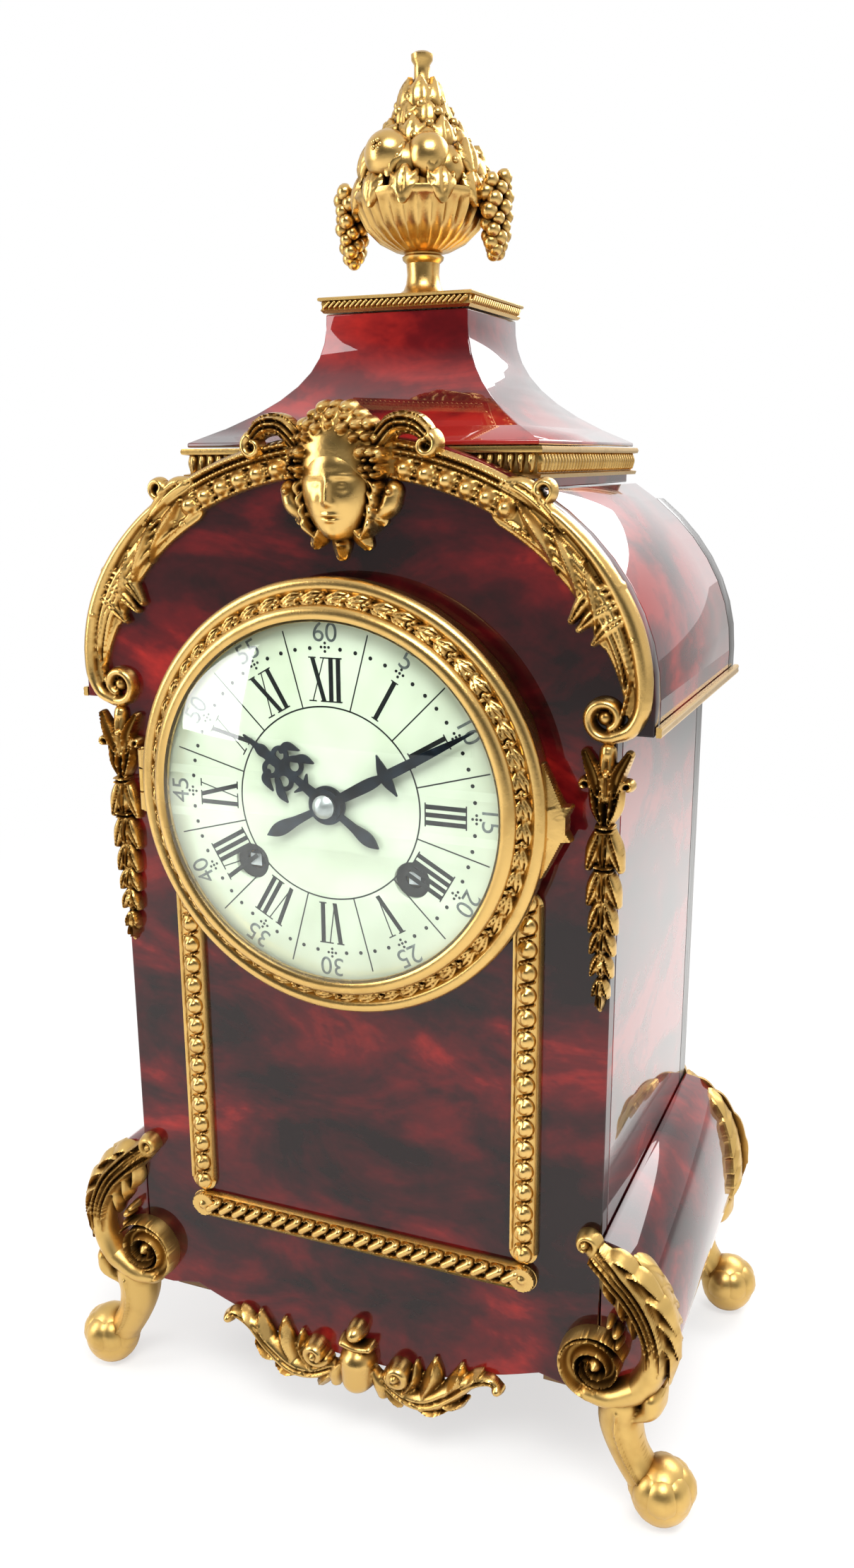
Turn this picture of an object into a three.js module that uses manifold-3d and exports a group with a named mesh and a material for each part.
// A spring-driven bracket clock: a waisted, veneered case with an arched hood and a pagoda roof,
// gilt bronze mounts and feet, an enamel dial behind a hinged domed glass, and a striking movement.
// Millimetres. X is to the right, Y runs into the clock from the front board's face, Z is up from the floor.
import * as THREE from 'three';
import { mergeVertices } from 'three/addons/utils/BufferGeometryUtils.js';
import Module from 'manifold-3d';

// ---- Fits ----
const SEAT = 0.3; // between a fixed piece and what it rests on
const TURN = 0.3; // round an arbor or pin in its hole
const PASS = 0.8; // between pieces that pass each other
const ROUND = 28; // facets of the large rings, alike so that they nest

// ---- Case ----
const DEPTH = 102; // face of the front board to the back of the case
const WAIST_HALF = 69;
const HOOD_HALF = 77.5;
const HOOD_LIP_Z = 212.3;
const ARCH_SPRING_Z = 220;
const ARCH_RISE = 60;
const BOARD = 5; // thickness of the case's boards
const BACK_BOARD = 8;
const CASE_BOTTOM_Z = 33;
const FLOOR_BOARD_Z = 38;
const FLOOR_BOARD = 6;
const APRON_DROP = 11.3; // how far the apron's middle hangs below its shoulders
const CONSOLE_OUT = 18.4; // how far the side consoles swell
const CONSOLE_WIDEST_Z = 50;
const CONSOLE_UP = 31;
const CONSOLE_DOWN = 19;
const HOOD_LIP = 19.5; // how far the hood's underside reaches in from its edge
const HOOD_WALL = 4;
const FILLET_WIDE = 1.4;
const FILLET_TALL = 2.4;
const DOOR_HALF = 45.4;
const DOOR_BOTTOM_Z = 50.6;
const DOOR_SPRING_Z = 196;
const DOOR_RISE = 42;
const DOOR_THICK = 6;
const DOOR_GAP = 0.6;
const DOOR_HINGES_Z = [74, 176];
const DOOR_KNUCKLE = 7; // length of one knuckle
const DOOR_KNOB_IN = 9; // knob to the door's edge
const DOOR_KNOB_R = 5;
const DOOR_KNOB_Z = 142;

// ---- Roof ----
const ROOF_HALF = 45.5; // half width of the square plinth under the roof
const PLINTH_TOP_Z = 275.5;
const PLINTH_MOULD = 2.6; // how far the gilt moulding stands out
const PLINTH_MOULD_H = 7.5;
const CADDY_TOP_Z = 310;
const CADDY_TOP_HALF = 19.5;
const CADDY_FLARE = 2.6; // power of the concave sweep
const CAP_HALF = 21.2;
const CAP_H = 3.8;
const FINIAL_FOOT_R = 7.2;
const FINIAL_NECK_H = 11.8;
const URN_R = 19;
const URN_H = 12;
const FRUIT_H = 34.6;

// ---- Dial and bezel ----
const DIAL_Z = 192;
const GLASS_OPENING_R = 45;
const GLASS_FRONT_Y = -14.9; // the bezel's inner lip
const GLASS_DOME = 7; // how far the glass swells
const GLASS_THICK = 1;
const GLASS_LIP = 0.5; // thickness of the lip in front of the glass
const BEZEL_R = 55;
const BEZEL_BASE_Y = -5;
const DIAL_Y = -10.8; // the printed face
const DIAL_THICK = 1.5;
const PAN_R = 48; // outside of the ring that holds dial and movement
const PAN_TUBE_R = 47;
const PAN_WALL = 1.5;
const HINGE_PIN_R = 0.8;
const KNUCKLE_R = 1.7;
const HOUR_HAND_LENGTH = 28;
const MINUTE_HAND_LENGTH = 44;
const HAND_THICK = 0.5;
const HAND_GAP = 0.7; // dial to hour hand
const HANDS_APART = 0.4;
const WINDING_HOLE_R = 4.8;
const HOUR_PIPE_R = 2.75;
const HAND_ARBOR_R = 1.3;
const SHOWN_HOURS = 10;
const SHOWN_MINUTES = 10.2;

// ---- Movement ----
const PLATE_R = 41;
const PLATE = 2;
const FRONT_PLATE_Y = -3; // face towards the dial
const PLATES_APART = 28.3;
const WINDING_X = 22; // the winding squares, either side and below the centre
const WINDING_DROP = 17;
const BARREL_R = 14.5;
const GREAT_TEETH = 24;
const GREAT_MODULE = 1.33;
const PINION_LEAVES = 6;
const SECOND_TEETH = 20;
const SECOND_MODULE = 0.96;
const CENTRE_TEETH = 20;
const CENTRE_MODULE = 0.94;
const THIRD_TEETH = 20;
const THIRD_MODULE = 0.84;
const THIRD_BEARING = 70; // degrees from +X, seen from the front
const ESCAPE_TEETH = 20;
const ESCAPE_R = 8;
const PALLET_CENTRES = 11.3; // escape arbor to anchor arbor
const MOTION_CENTRES = 14;
const CANNON_TEETH = 6;
const MINUTE_TEETH = 18;
const HOUR_PINION_TEETH = 6;
const HOUR_TEETH = 24;
const PIN_WHEEL_TEETH = 20;
const PIN_WHEEL_MODULE = 0.84;
const PIN_WHEEL_BEARING = 95;
const FLY_BEARING = 60;
const LIFTING_PINS = 5;
const LIFTING_PIN_RING_R = 6.6;
const ARBOR_R = 1;
const BARREL_ARBOR_R = 2.2;
const WINDING_SQUARE = 3.1; // across the flats
const PENDULUM_DROP = 124; // pivot to the middle of the bob
const PENDULUM_ROD_R = 1.1;
const PENDULUM_STUD_R = 1.2;
const BOB_R = 17;
const BOB_THICK = 9;
const PENDULUM_Y = 43.5;
const COCK_HALF = 12; // half width of the bar that the pendulum hangs from
const COCK_TALL = 9;
const BELL_STUD_R = 1.8;
const BELL_WALL = 1.4;
const BELL_R = 24;
const BELL_X = -16;
const BELL_UP = 6;
const BELL_MOUTH_Y = 50;
const BELL_DEEP = 13;
const HAMMER_X = -34;
const HAMMER_UP = 12;
const HAMMER_HEAD_R = 2.4;
const PILLAR_R = 1.9;

// ---- Mounts ----
const RELIEF = 3.4; // how far the flat mounts stand off the veneer
const BORDER_HALF = 52.3;
const BORDER_WIDE = 7.8;
const BORDER_BOTTOM_Z = 61.5;
const GARLAND_X = 67;
const GARLAND_TOP_Z = 209.7;
const GARLAND_BOTTOM_Z = 144;
const MASK_TOP_Z = 289;
const MASK_BOTTOM_Z = 252;
const FOOT_KNOB_X = 87;
const FOOT_KNOB_Y = 2;
const FOOT_KNOB_R = 9.3;
const FOOT_FLAT = 0.35; // how much of the knob is worn flat on the floor
const VOLUTE_Z = 46.3;
const VOLUTE_R = 9.5;

// ---- Values that follow ----
const ARCH_TOP_Z = ARCH_SPRING_Z + ARCH_RISE;
const BACK_Y = DEPTH - BACK_BOARD;
const ROOF_Y = DEPTH / 2;
const ROOF_HALF_DEPTH = ROOF_Y - BOARD - SEAT - PLINTH_MOULD;
const PLATE_BACK_Y = FRONT_PLATE_Y + PLATE + PLATES_APART;
const PAN_BORE_R = PAN_TUBE_R - PAN_WALL;
const BOARD_BORE_R = PAN_TUBE_R + 0.4;

const wasm = await Module();
wasm.setup();

// ---- Solids ----
const at = (x, y) => new THREE.Vector2(x, y);
const turnTo = (degrees) => THREE.MathUtils.degToRad(degrees);

// Leaves positions only, joins shared corners, drops slivers and turns the faces out.
function solid(geometry) {
  const plain = new THREE.BufferGeometry();
  plain.setAttribute('position', geometry.getAttribute('position'));
  if (geometry.index) plain.setIndex(geometry.index);
  const merged = mergeVertices(plain, 1e-4);
  const corners = merged.index.array;
  const point = merged.getAttribute('position');
  const [a, b, c] = [new THREE.Vector3(), new THREE.Vector3(), new THREE.Vector3()];
  const kept = [];
  let volume = 0;
  for (let i = 0; i < corners.length; i += 3) {
    const [p, q, r] = [corners[i], corners[i + 1], corners[i + 2]];
    if (p === q || q === r || r === p) continue;
    kept.push(p, q, r);
    a.fromBufferAttribute(point, p);
    b.fromBufferAttribute(point, q);
    c.fromBufferAttribute(point, r);
    volume += a.dot(b.cross(c));
  }
  if (volume < 0) kept.reverse();
  merged.setIndex(kept);
  return merged;
}

function toManifold(geometry) {
  const vertProperties = geometry.getAttribute('position').array;
  const triVerts = Uint32Array.from(geometry.index.array);
  return new wasm.Manifold(new wasm.Mesh({ numProp: 3, vertProperties, triVerts }));
}

function toGeometry(manifold) {
  const mesh = manifold.getMesh();
  const geometry = new THREE.BufferGeometry();
  geometry.setAttribute('position', new THREE.BufferAttribute(mesh.vertProperties, 3));
  geometry.setIndex(new THREE.BufferAttribute(mesh.triVerts, 1));
  return geometry;
}

function join(...geometries) {
  return toGeometry(geometries.map(toManifold).reduce((whole, next) => whole.add(next)));
}

function cut(geometry, ...tools) {
  return toGeometry(tools.map(toManifold).reduce((whole, tool) => whole.subtract(tool), toManifold(geometry)));
}

// An outline in the XZ plane given thickness from y0 to y1.
function plate(points, y0, y1, holes = []) {
  const shape = new THREE.Shape(points);
  for (const hole of holes) shape.holes.push(new THREE.Path(hole));
  const geometry = new THREE.ExtrudeGeometry(shape, { depth: y1 - y0, bevelEnabled: false });
  return solid(geometry.rotateX(Math.PI / 2).translate(0, y1, 0));
}

// A profile of [radius, along] pairs turned about Y, or about Z. One that keeps off the axis is closed into a ring.
function turnedY(profile, sides) {
  const onAxis = profile[0][0] === 0;
  const whole = onAxis ? profile : [...profile, profile[0]];
  return solid(new THREE.LatheGeometry(whole.map(([r, y]) => at(r, y)), sides));
}

function turnedZ(profile, sides) {
  return turnedY(profile, sides).rotateX(Math.PI / 2);
}

function rodY(radius, y0, y1, sides = 10) {
  return turnedY([[0, y0], [radius, y0], [radius, y1], [0, y1]], sides);
}

function rodZ(radius, z0, z1, sides = 10) {
  return turnedZ([[0, z0], [radius, z0], [radius, z1], [0, z1]], sides);
}

function block(x0, x1, y0, y1, z0, z1) {
  const box = new THREE.BoxGeometry(x1 - x0, y1 - y0, z1 - z0);
  return solid(box.translate((x0 + x1) / 2, (y0 + y1) / 2, (z0 + z1) / 2));
}

const moved = (geometry, x, y, z) => geometry.clone().translate(x, y, z);

// ---- Outlines ----
function arc(cx, cy, rx, ry, from, to, steps) {
  const points = [];
  for (let i = 0; i <= steps; i++) {
    const angle = turnTo(from + ((to - from) * i) / steps);
    points.push(at(cx + rx * Math.cos(angle), cy + ry * Math.sin(angle)));
  }
  return points;
}

function circle(x, z, radius, sides) {
  return arc(x, z, radius, radius, 0, 360 - 360 / sides, sides - 1);
}

function smooth(pairs, steps) {
  return new THREE.SplineCurve(pairs.map(([x, z]) => at(x, z))).getPoints(steps);
}

// An outline that is its own mirror image: the right half from bottom to top.
function mirrored(right) {
  const left = right.filter((p) => p.x > 0.001).map((p) => at(-p.x, p.y));
  return [...right, ...left.reverse()];
}

// ---- Scene ----
const clock = new THREE.Group();
const movement = new THREE.Group();
movement.position.z = DIAL_Z;
clock.add(movement);

const finish = (color, roughness, metalness, opacity = 1) =>
  new THREE.MeshStandardMaterial({ color, roughness, metalness, opacity, transparent: opacity < 1 });
const tortoiseshell = finish(0x5e1a12, 0.15, 0);
const ebonised = finish(0x1b1311, 0.3, 0);
const carcass = finish(0x6a4a2e, 0.7, 0);
const giltBronze = finish(0xc79a45, 0.35, 1);
const brass = finish(0xb9954f, 0.3, 1);
const steel = finish(0x77797c, 0.35, 1);
const bluedSteel = finish(0x14151c, 0.25, 0.8);
const enamel = finish(0xf1f0e8, 0.2, 0);
const glass = finish(0xe4ecec, 0.02, 0, 0.3);
const bellMetal = finish(0xd8cfae, 0.2, 1);

function add(name, geometry, material, parent = clock) {
  const mesh = new THREE.Mesh(geometry, material);
  mesh.name = name;
  mesh.geometry.computeVertexNormals();
  parent.add(mesh);
  return mesh;
}

function addPair(name, geometry, material) {
  add(`${name}_right`, geometry, material);
  add(`${name}_left`, geometry.clone(), material).scale.x = -1;
}

// ---- Case ----
function hoodArc(inset, steps, fromX = HOOD_HALF - inset) {
  const half = HOOD_HALF - inset;
  const from = THREE.MathUtils.radToDeg(Math.acos(Math.min(1, fromX / half)));
  return arc(0, ARCH_SPRING_Z, half, ARCH_RISE - inset, from, 90, steps);
}

function apronEdge() {
  const low = CASE_BOTTOM_Z + 3.8 - APRON_DROP;
  const high = CASE_BOTTOM_Z + 3.8;
  return smooth([[0, low], [22, low + 0.8], [36, low + 5.6], [44, high - 3.3], [53, high]], 12);
}

function addFrontBoard() {
  const right = [
    ...apronEdge(),
    at(62, CASE_BOTTOM_Z + 2),
    at(WAIST_HALF, CASE_BOTTOM_Z + 2),
    at(WAIST_HALF, HOOD_LIP_Z),
    at(HOOD_HALF, HOOD_LIP_Z),
    ...hoodArc(0, 14),
  ];
  const bore = circle(0, DIAL_Z, BOARD_BORE_R, ROUND);
  add('front_board', plate(mirrored(right), 0, BOARD, [bore]), tortoiseshell);
}

function addSides() {
  const side = block(
    WAIST_HALF - BOARD, WAIST_HALF, BOARD + SEAT, BACK_Y - SEAT, CASE_BOTTOM_Z + 1, HOOD_LIP_Z - SEAT,
  );
  addPair('side', side, tortoiseshell);
}

function addFloor() {
  const half = WAIST_HALF - BOARD - SEAT;
  const top = FLOOR_BOARD_Z + FLOOR_BOARD;
  const board = block(-half, half, BOARD + SEAT, BACK_Y - SEAT, FLOOR_BOARD_Z, top);
  const blockDeep = 16;
  const blockWide = 11;
  const corners = [-1, 1].flatMap((side) =>
    [BOARD + SEAT, BACK_Y - SEAT - blockDeep].map((y) => {
      const x = side > 0 ? half - blockWide : -half;
      return block(x, x + blockWide, y, y + blockDeep, CASE_BOTTOM_Z - 2, FLOOR_BOARD_Z + 1);
    }),
  );
  add('base_board', join(board, ...corners), carcass);
}

function consoleCurve(offset, from, to, steps) {
  const x = WAIST_HALF + SEAT;
  const upper = arc(x, CONSOLE_WIDEST_Z, CONSOLE_OUT + offset, CONSOLE_UP + offset, 0, from, steps).reverse();
  const lower = arc(x, CONSOLE_WIDEST_Z, CONSOLE_OUT + offset, CONSOLE_DOWN + offset, 0, to, steps);
  return [...upper, ...lower.slice(1)];
}

function addConsoles() {
  const x = WAIST_HALF + SEAT;
  const swell = consoleCurve(0, 90, -58, 6);
  const profile = [...swell, at(swell.at(-1).x, CASE_BOTTOM_Z), at(x, CASE_BOTTOM_Z)];
  addPair('console', plate(profile, 0, DEPTH), tortoiseshell);
}

function addHood() {
  const roofHalf = ROOF_HALF + PLINTH_MOULD + SEAT;
  const outer = hoodArc(0, 14).filter((p) => p.x > roofHalf);
  const inner = hoodArc(BOARD, 14).filter((p) => p.x > roofHalf - HOOD_WALL);
  const flatZ = ARCH_SPRING_Z + ARCH_RISE * Math.sqrt(1 - (roofHalf / HOOD_HALF) ** 2);
  const right = [
    at(HOOD_HALF - HOOD_LIP, HOOD_LIP_Z + HOOD_WALL),
    at(HOOD_HALF - HOOD_LIP, HOOD_LIP_Z),
    at(HOOD_HALF, HOOD_LIP_Z),
    ...outer,
    at(roofHalf, flatZ),
  ];
  const rightInner = [
    at(roofHalf - HOOD_WALL, flatZ - BOARD),
    ...inner.reverse(),
    at(HOOD_HALF - BOARD, HOOD_LIP_Z + HOOD_WALL),
  ];
  const left = right.map((p) => at(-p.x, p.y)).reverse();
  const leftInner = rightInner.map((p) => at(-p.x, p.y)).reverse();
  add('hood_shell', plate([...right, ...left, ...leftInner, ...rightInner], BOARD + SEAT, BACK_Y - SEAT), tortoiseshell);
  const fillet = block(
    HOOD_HALF + SEAT, HOOD_HALF + SEAT + FILLET_WIDE, 0, DEPTH, HOOD_LIP_Z, HOOD_LIP_Z + FILLET_TALL,
  );
  addPair('hood_fillet', fillet, giltBronze);
  return flatZ;
}

function doorOutline(grow) {
  const half = DOOR_HALF + grow;
  return mirrored([
    at(0, DOOR_BOTTOM_Z - grow),
    at(half, DOOR_BOTTOM_Z - grow),
    ...arc(0, DOOR_SPRING_Z, half, DOOR_RISE + grow, 0, 90, 7),
  ]);
}

// The rear door turns on a rod outside the back, through knuckles of the frame and of the door.
function addBack() {
  const hingeX = -DOOR_HALF - DOOR_GAP / 2;
  const hingeY = DEPTH + KNUCKLE_R + SEAT;
  const bore = KNUCKLE_R - 0.6;
  const knuckle = (z, long, wingX) => {
    const ring = turnedZ([[bore, 0], [KNUCKLE_R, 0], [KNUCKLE_R, long], [bore, long]], 8);
    const wing = block(Math.min(0, wingX), Math.max(0, wingX), -KNUCKLE_R - SEAT - 0.5, -bore - 0.1, 0, long);
    return moved(join(ring, wing), hingeX, hingeY, z);
  };
  const outline = mirrored([
    at(0, CASE_BOTTOM_Z + 2),
    at(WAIST_HALF, CASE_BOTTOM_Z + 2),
    at(WAIST_HALF, HOOD_LIP_Z),
    at(HOOD_HALF, HOOD_LIP_Z),
    ...hoodArc(0, 14, HOOD_HALF).filter((p) => p.y < ARCH_TOP_Z - 16),
  ]);
  const frame = plate(outline, BACK_Y, DEPTH, [doorOutline(DOOR_GAP)]);
  const leaf = plate(doorOutline(0), DEPTH - DOOR_THICK, DEPTH);
  const leaves = [];
  const jambs = [];
  for (const z of DOOR_HINGES_Z) {
    jambs.push(knuckle(z, DOOR_KNUCKLE, -5));
    leaves.push(knuckle(z + DOOR_KNUCKLE + SEAT, DOOR_KNUCKLE, 5));
  }
  const knobX = DOOR_HALF - DOOR_KNOB_IN;
  const leafInner = DEPTH - DOOR_THICK;
  const knobFoot = leafInner - 3.4;
  add('back_frame', join(frame, ...jambs), ebonised);
  const spindle = moved(rodY(DOOR_KNOB_R * 0.4 + TURN, leafInner - 1, DEPTH + 1, 12), knobX, 0, DOOR_KNOB_Z);
  add('rear_door', cut(join(leaf, ...leaves), spindle), ebonised);
  add('rear_door_hinge_rod', moved(rodZ(bore - TURN, DOOR_HINGES_Z[0] - 2, DOOR_HINGES_Z[1] + 26, 8), hingeX, hingeY, 0), brass);
  const knob = turnedY([
    [0, knobFoot], [DOOR_KNOB_R * 0.4, knobFoot], [DOOR_KNOB_R * 0.4, DEPTH + SEAT],
    [DOOR_KNOB_R * 0.8, DEPTH + SEAT], [DOOR_KNOB_R * 0.5, DEPTH + 2.4], [DOOR_KNOB_R, DEPTH + 5],
    [DOOR_KNOB_R * 0.8, DEPTH + 8], [0, DEPTH + 9],
  ], 12);
  const tongue = block(-2.6, 2.6, knobFoot, knobFoot + 1.2, -4, 14);
  add('rear_door_knob', moved(join(knob, tongue), knobX, 0, DOOR_KNOB_Z), brass);
}

// ---- Roof and finial ----
function squareTurned(levels) {
  const corner = Math.SQRT2;
  return turnedZ(levels.map(([half, z]) => [half * corner, z]), 4).rotateZ(Math.PI / 4);
}

function addRoof(deckZ) {
  const body = block(
    -ROOF_HALF, ROOF_HALF, ROOF_Y - ROOF_HALF_DEPTH, ROOF_Y + ROOF_HALF_DEPTH, deckZ + SEAT, PLINTH_TOP_Z,
  );
  add('roof_plinth', body, tortoiseshell);
  const top = PLINTH_TOP_Z + 1.2;
  const round = (out, z0, z1) => {
    const [x, y] = [ROOF_HALF + out, ROOF_HALF_DEPTH + out];
    return block(-x, x, ROOF_Y - y, ROOF_Y + y, z0, z1);
  };
  const mould = join(round(PLINTH_MOULD - 0.8, top - PLINTH_MOULD_H, top - 1), round(PLINTH_MOULD, top - 2.2, top));
  add('plinth_moulding', cut(mould, round(SEAT, top - PLINTH_MOULD_H - 1, top + 1)), giltBronze);

  const base = top + SEAT;
  const baseHalf = ROOF_HALF + PLINTH_MOULD - 1.3;
  const depthShare = ROOF_HALF_DEPTH / ROOF_HALF;
  const sweep = [];
  const steps = 9;
  for (let i = 0; i <= steps; i++) {
    const t = i / steps;
    sweep.push([CADDY_TOP_HALF + (baseHalf - CADDY_TOP_HALF) * (1 - t) ** CADDY_FLARE, base + 1 + (CADDY_TOP_Z - base - 1) * t]);
  }
  const caddy = squareTurned([[0, base], [baseHalf, base], ...sweep, [0, CADDY_TOP_Z]]);
  add('roof_caddy', caddy.scale(1, depthShare, 1).translate(0, ROOF_Y, 0), tortoiseshell);

  const capFoot = CADDY_TOP_Z + SEAT;
  const cap = squareTurned([
    [0, capFoot], [CAP_HALF - 1.6, capFoot], [CAP_HALF, capFoot + 1.4], [CAP_HALF, capFoot + 2.4],
    [CAP_HALF - 1.2, capFoot + CAP_H], [0, capFoot + CAP_H],
  ]);
  add('cap_moulding', cap.scale(1, depthShare, 1).translate(0, ROOF_Y, 0), giltBronze);
  addFinial(capFoot + CAP_H + SEAT);
}

function addFinial(footZ) {
  const r = FINIAL_FOOT_R;
  const neckTop = footZ + FINIAL_NECK_H;
  const stem = turnedZ([
    [0, footZ], [r, footZ], [r, footZ + 1.6], [r * 0.78, footZ + 3], [r * 0.42, footZ + 5.4],
    [r * 0.4, neckTop - 3.4], [r * 0.9, neckTop - 2.2], [r * 0.9, neckTop - 0.8], [r * 0.6, neckTop], [0, neckTop],
  ], 12);
  add('finial_stem', stem.translate(0, ROOF_Y, 0), giltBronze);

  // The bowl, with a cluster of grapes hanging over its rim on each side.
  const bowlZ = neckTop + SEAT;
  const rimZ = bowlZ + URN_H;
  const bowl = turnedZ([
    [0, bowlZ], [URN_R * 0.32, bowlZ], [URN_R * 0.72, bowlZ + URN_H * 0.3], [URN_R * 0.94, bowlZ + URN_H * 0.66],
    [URN_R, rimZ - 1.6], [URN_R * 0.96, rimZ], [0, rimZ],
  ], 14);
  const grapes = [-1, 1].flatMap((side) =>
    [[20.5, -2, 5], [21.8, -9, 4]].map(([x, drop, size]) => {
      const berry = solid(new THREE.SphereGeometry(size, 7, 5));
      return moved(berry, side * x * (URN_R / 19), 0, rimZ + drop);
    }),
  );
  add('finial_urn', join(bowl, ...grapes).translate(0, ROOF_Y, 0), giltBronze);

  // The heap of fruit: four large fruits leaning on a cone, and a bud on top.
  const heapZ = rimZ + SEAT;
  const cone = turnedZ([
    [0, heapZ], [URN_R * 0.84, heapZ], [URN_R * 0.8, heapZ + FRUIT_H * 0.22], [URN_R * 0.46, heapZ + FRUIT_H * 0.56],
    [URN_R * 0.2, heapZ + FRUIT_H * 0.76], [URN_R * 0.17, heapZ + FRUIT_H * 0.84], [URN_R * 0.25, heapZ + FRUIT_H * 0.91],
    [URN_R * 0.12, heapZ + FRUIT_H * 0.985], [0, heapZ + FRUIT_H],
  ], 8);
  const fruits = [];
  for (const [count, ring, up, size] of [[4, 0.58, 0.26, 0.44], [2, 0.34, 0.52, 0.32]]) {
    for (let i = 0; i < count; i++) {
      const angle = (2 * Math.PI * (i + 0.25)) / count;
      const fruit = solid(new THREE.SphereGeometry(URN_R * size, 8, 5));
      const reach = URN_R * ring;
      fruits.push(moved(fruit, reach * Math.cos(angle), reach * Math.sin(angle), heapZ + FRUIT_H * up));
    }
  }
  const flat = block(-60, 60, -60, 60, heapZ - 40, heapZ);
  add('finial_fruit', cut(join(cone, ...fruits), flat).translate(0, ROOF_Y, 0), giltBronze);
}

// ---- Gilt mounts on the front ----
// Cuts a mount flat where it lies on the board.
const laidOnBoard = (geometry) => cut(geometry, block(-200, 200, -SEAT, 60, -50, 400));

function addArchMounts() {
  const start = 14.8;
  const outer = hoodArc(0.4, 16).filter((p) => p.x > start);
  const topZ = ARCH_SPRING_Z + (ARCH_RISE - 0.4) * Math.sqrt(1 - (start / (HOOD_HALF - 0.4)) ** 2);
  const inner = smooth([
    [start, ARCH_TOP_Z - 8], [22, ARCH_TOP_Z - 9], [30, ARCH_TOP_Z - 13], [43, ARCH_TOP_Z - 19],
    [50, ARCH_TOP_Z - 27], [58, ARCH_TOP_Z - 39], [58.4, ARCH_TOP_Z - 43.5], [65, ARCH_TOP_Z - 50],
    [67.5, ARCH_TOP_Z - 57],
  ], 22);
  const volute = arc(66, HOOD_LIP_Z + 4.2, 5.7, 5.5, 110, 350, 12);
  const outline = [...inner, ...volute, at(75.6, HOOD_LIP_Z + 1.6), ...outer, at(start, topZ)];
  addPair('arch_mount', plate(outline, -RELIEF, -SEAT), giltBronze);
}

// The mask: a plain oval face on a leafy plate, with horns over the arch.
function addMask() {
  const outline = mirrored(smooth([
    [0, MASK_BOTTOM_Z], [6.5, MASK_BOTTOM_Z + 2.5], [12, MASK_BOTTOM_Z + 9], [13.6, MASK_BOTTOM_Z + 17],
    [12.6, MASK_BOTTOM_Z + 25], [13.4, ARCH_TOP_Z - 0.2], [19, ARCH_TOP_Z - 0.9], [25.5, ARCH_TOP_Z - 1.4],
    [27, ARCH_TOP_Z + 2.4], [22, ARCH_TOP_Z + 5.5], [13, ARCH_TOP_Z + 6.5], [6, MASK_TOP_Z - 0.5], [0, MASK_TOP_Z],
  ], 22));
  const backing = plate(outline, -RELIEF, -SEAT);
  const face = solid(new THREE.SphereGeometry(1, 8, 6)).scale(7, 6.2, 10).translate(0, -RELIEF - 1, 268.5);
  const chin = solid(new THREE.SphereGeometry(1, 8, 5)).scale(4.6, 4.6, 5).translate(0, -RELIEF - 1.8, 262.5);
  const hair = solid(new THREE.SphereGeometry(1, 8, 5)).scale(9, 4.6, 6.4).translate(0, -RELIEF, 277);
  add('mask_mount', laidOnBoard(join(backing, face, chin, hair)), giltBronze);
}

// A string of husks that get smaller downwards, under an open tulip.
function addGarlands() {
  const fall = GARLAND_TOP_Z - GARLAND_BOTTOM_Z;
  const right = [at(0, GARLAND_BOTTOM_Z)];
  const husks = 5;
  for (let i = 0; i < husks; i++) {
    const z = GARLAND_BOTTOM_Z + fall * (0.03 + 0.145 * i);
    const wide = 1.4 + 0.55 * i;
    right.push(at(wide * 0.5, z), at(wide, z + fall * 0.07), at(wide * 0.85, z + fall * 0.115));
  }
  right.push(
    at(2, GARLAND_TOP_Z - fall * 0.22), at(4.6, GARLAND_TOP_Z - fall * 0.19), at(6.4, GARLAND_TOP_Z - fall * 0.12),
    at(5.2, GARLAND_TOP_Z - fall * 0.06), at(2.4, GARLAND_TOP_Z - fall * 0.03), at(0, GARLAND_TOP_Z),
  );
  addPair('garland', plate(mirrored(right), -RELIEF - 0.4, -SEAT).translate(GARLAND_X, 0, 0), giltBronze);
}

function addPanelBorder() {
  const inner = BORDER_HALF - BORDER_WIDE;
  const mouldProfile = [
    at(0, 0), at(BORDER_WIDE, 0), at(BORDER_WIDE, 1.3), at(BORDER_WIDE - 1.3, 1.3),
    ...arc(BORDER_WIDE / 2, 1.3, BORDER_WIDE / 2 - 1.3, RELIEF - 1.6, 0, 180, 6), at(0, 1.3),
  ];
  const strip = (length) => {
    const geometry = new THREE.ExtrudeGeometry(new THREE.Shape(mouldProfile), { depth: length, bevelEnabled: false });
    return solid(geometry.scale(1, -1, 1).translate(0, -SEAT, 0));
  };
  const sideBottom = BORDER_BOTTOM_Z + BORDER_WIDE + SEAT;
  const reach = turnedY([[0, -20], [BEZEL_R + PASS, -20], [BEZEL_R + PASS, 20], [0, 20]], 64).translate(0, 0, DIAL_Z);
  const side = cut(strip(DIAL_Z - sideBottom).translate(inner, 0, sideBottom), reach);
  addPair('panel_border', side, giltBronze);
  const bottom = strip(2 * BORDER_HALF).rotateY(Math.PI / 2).translate(-BORDER_HALF, 0, BORDER_BOTTOM_Z + BORDER_WIDE);
  add('panel_border_bottom', bottom, giltBronze);
}

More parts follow.
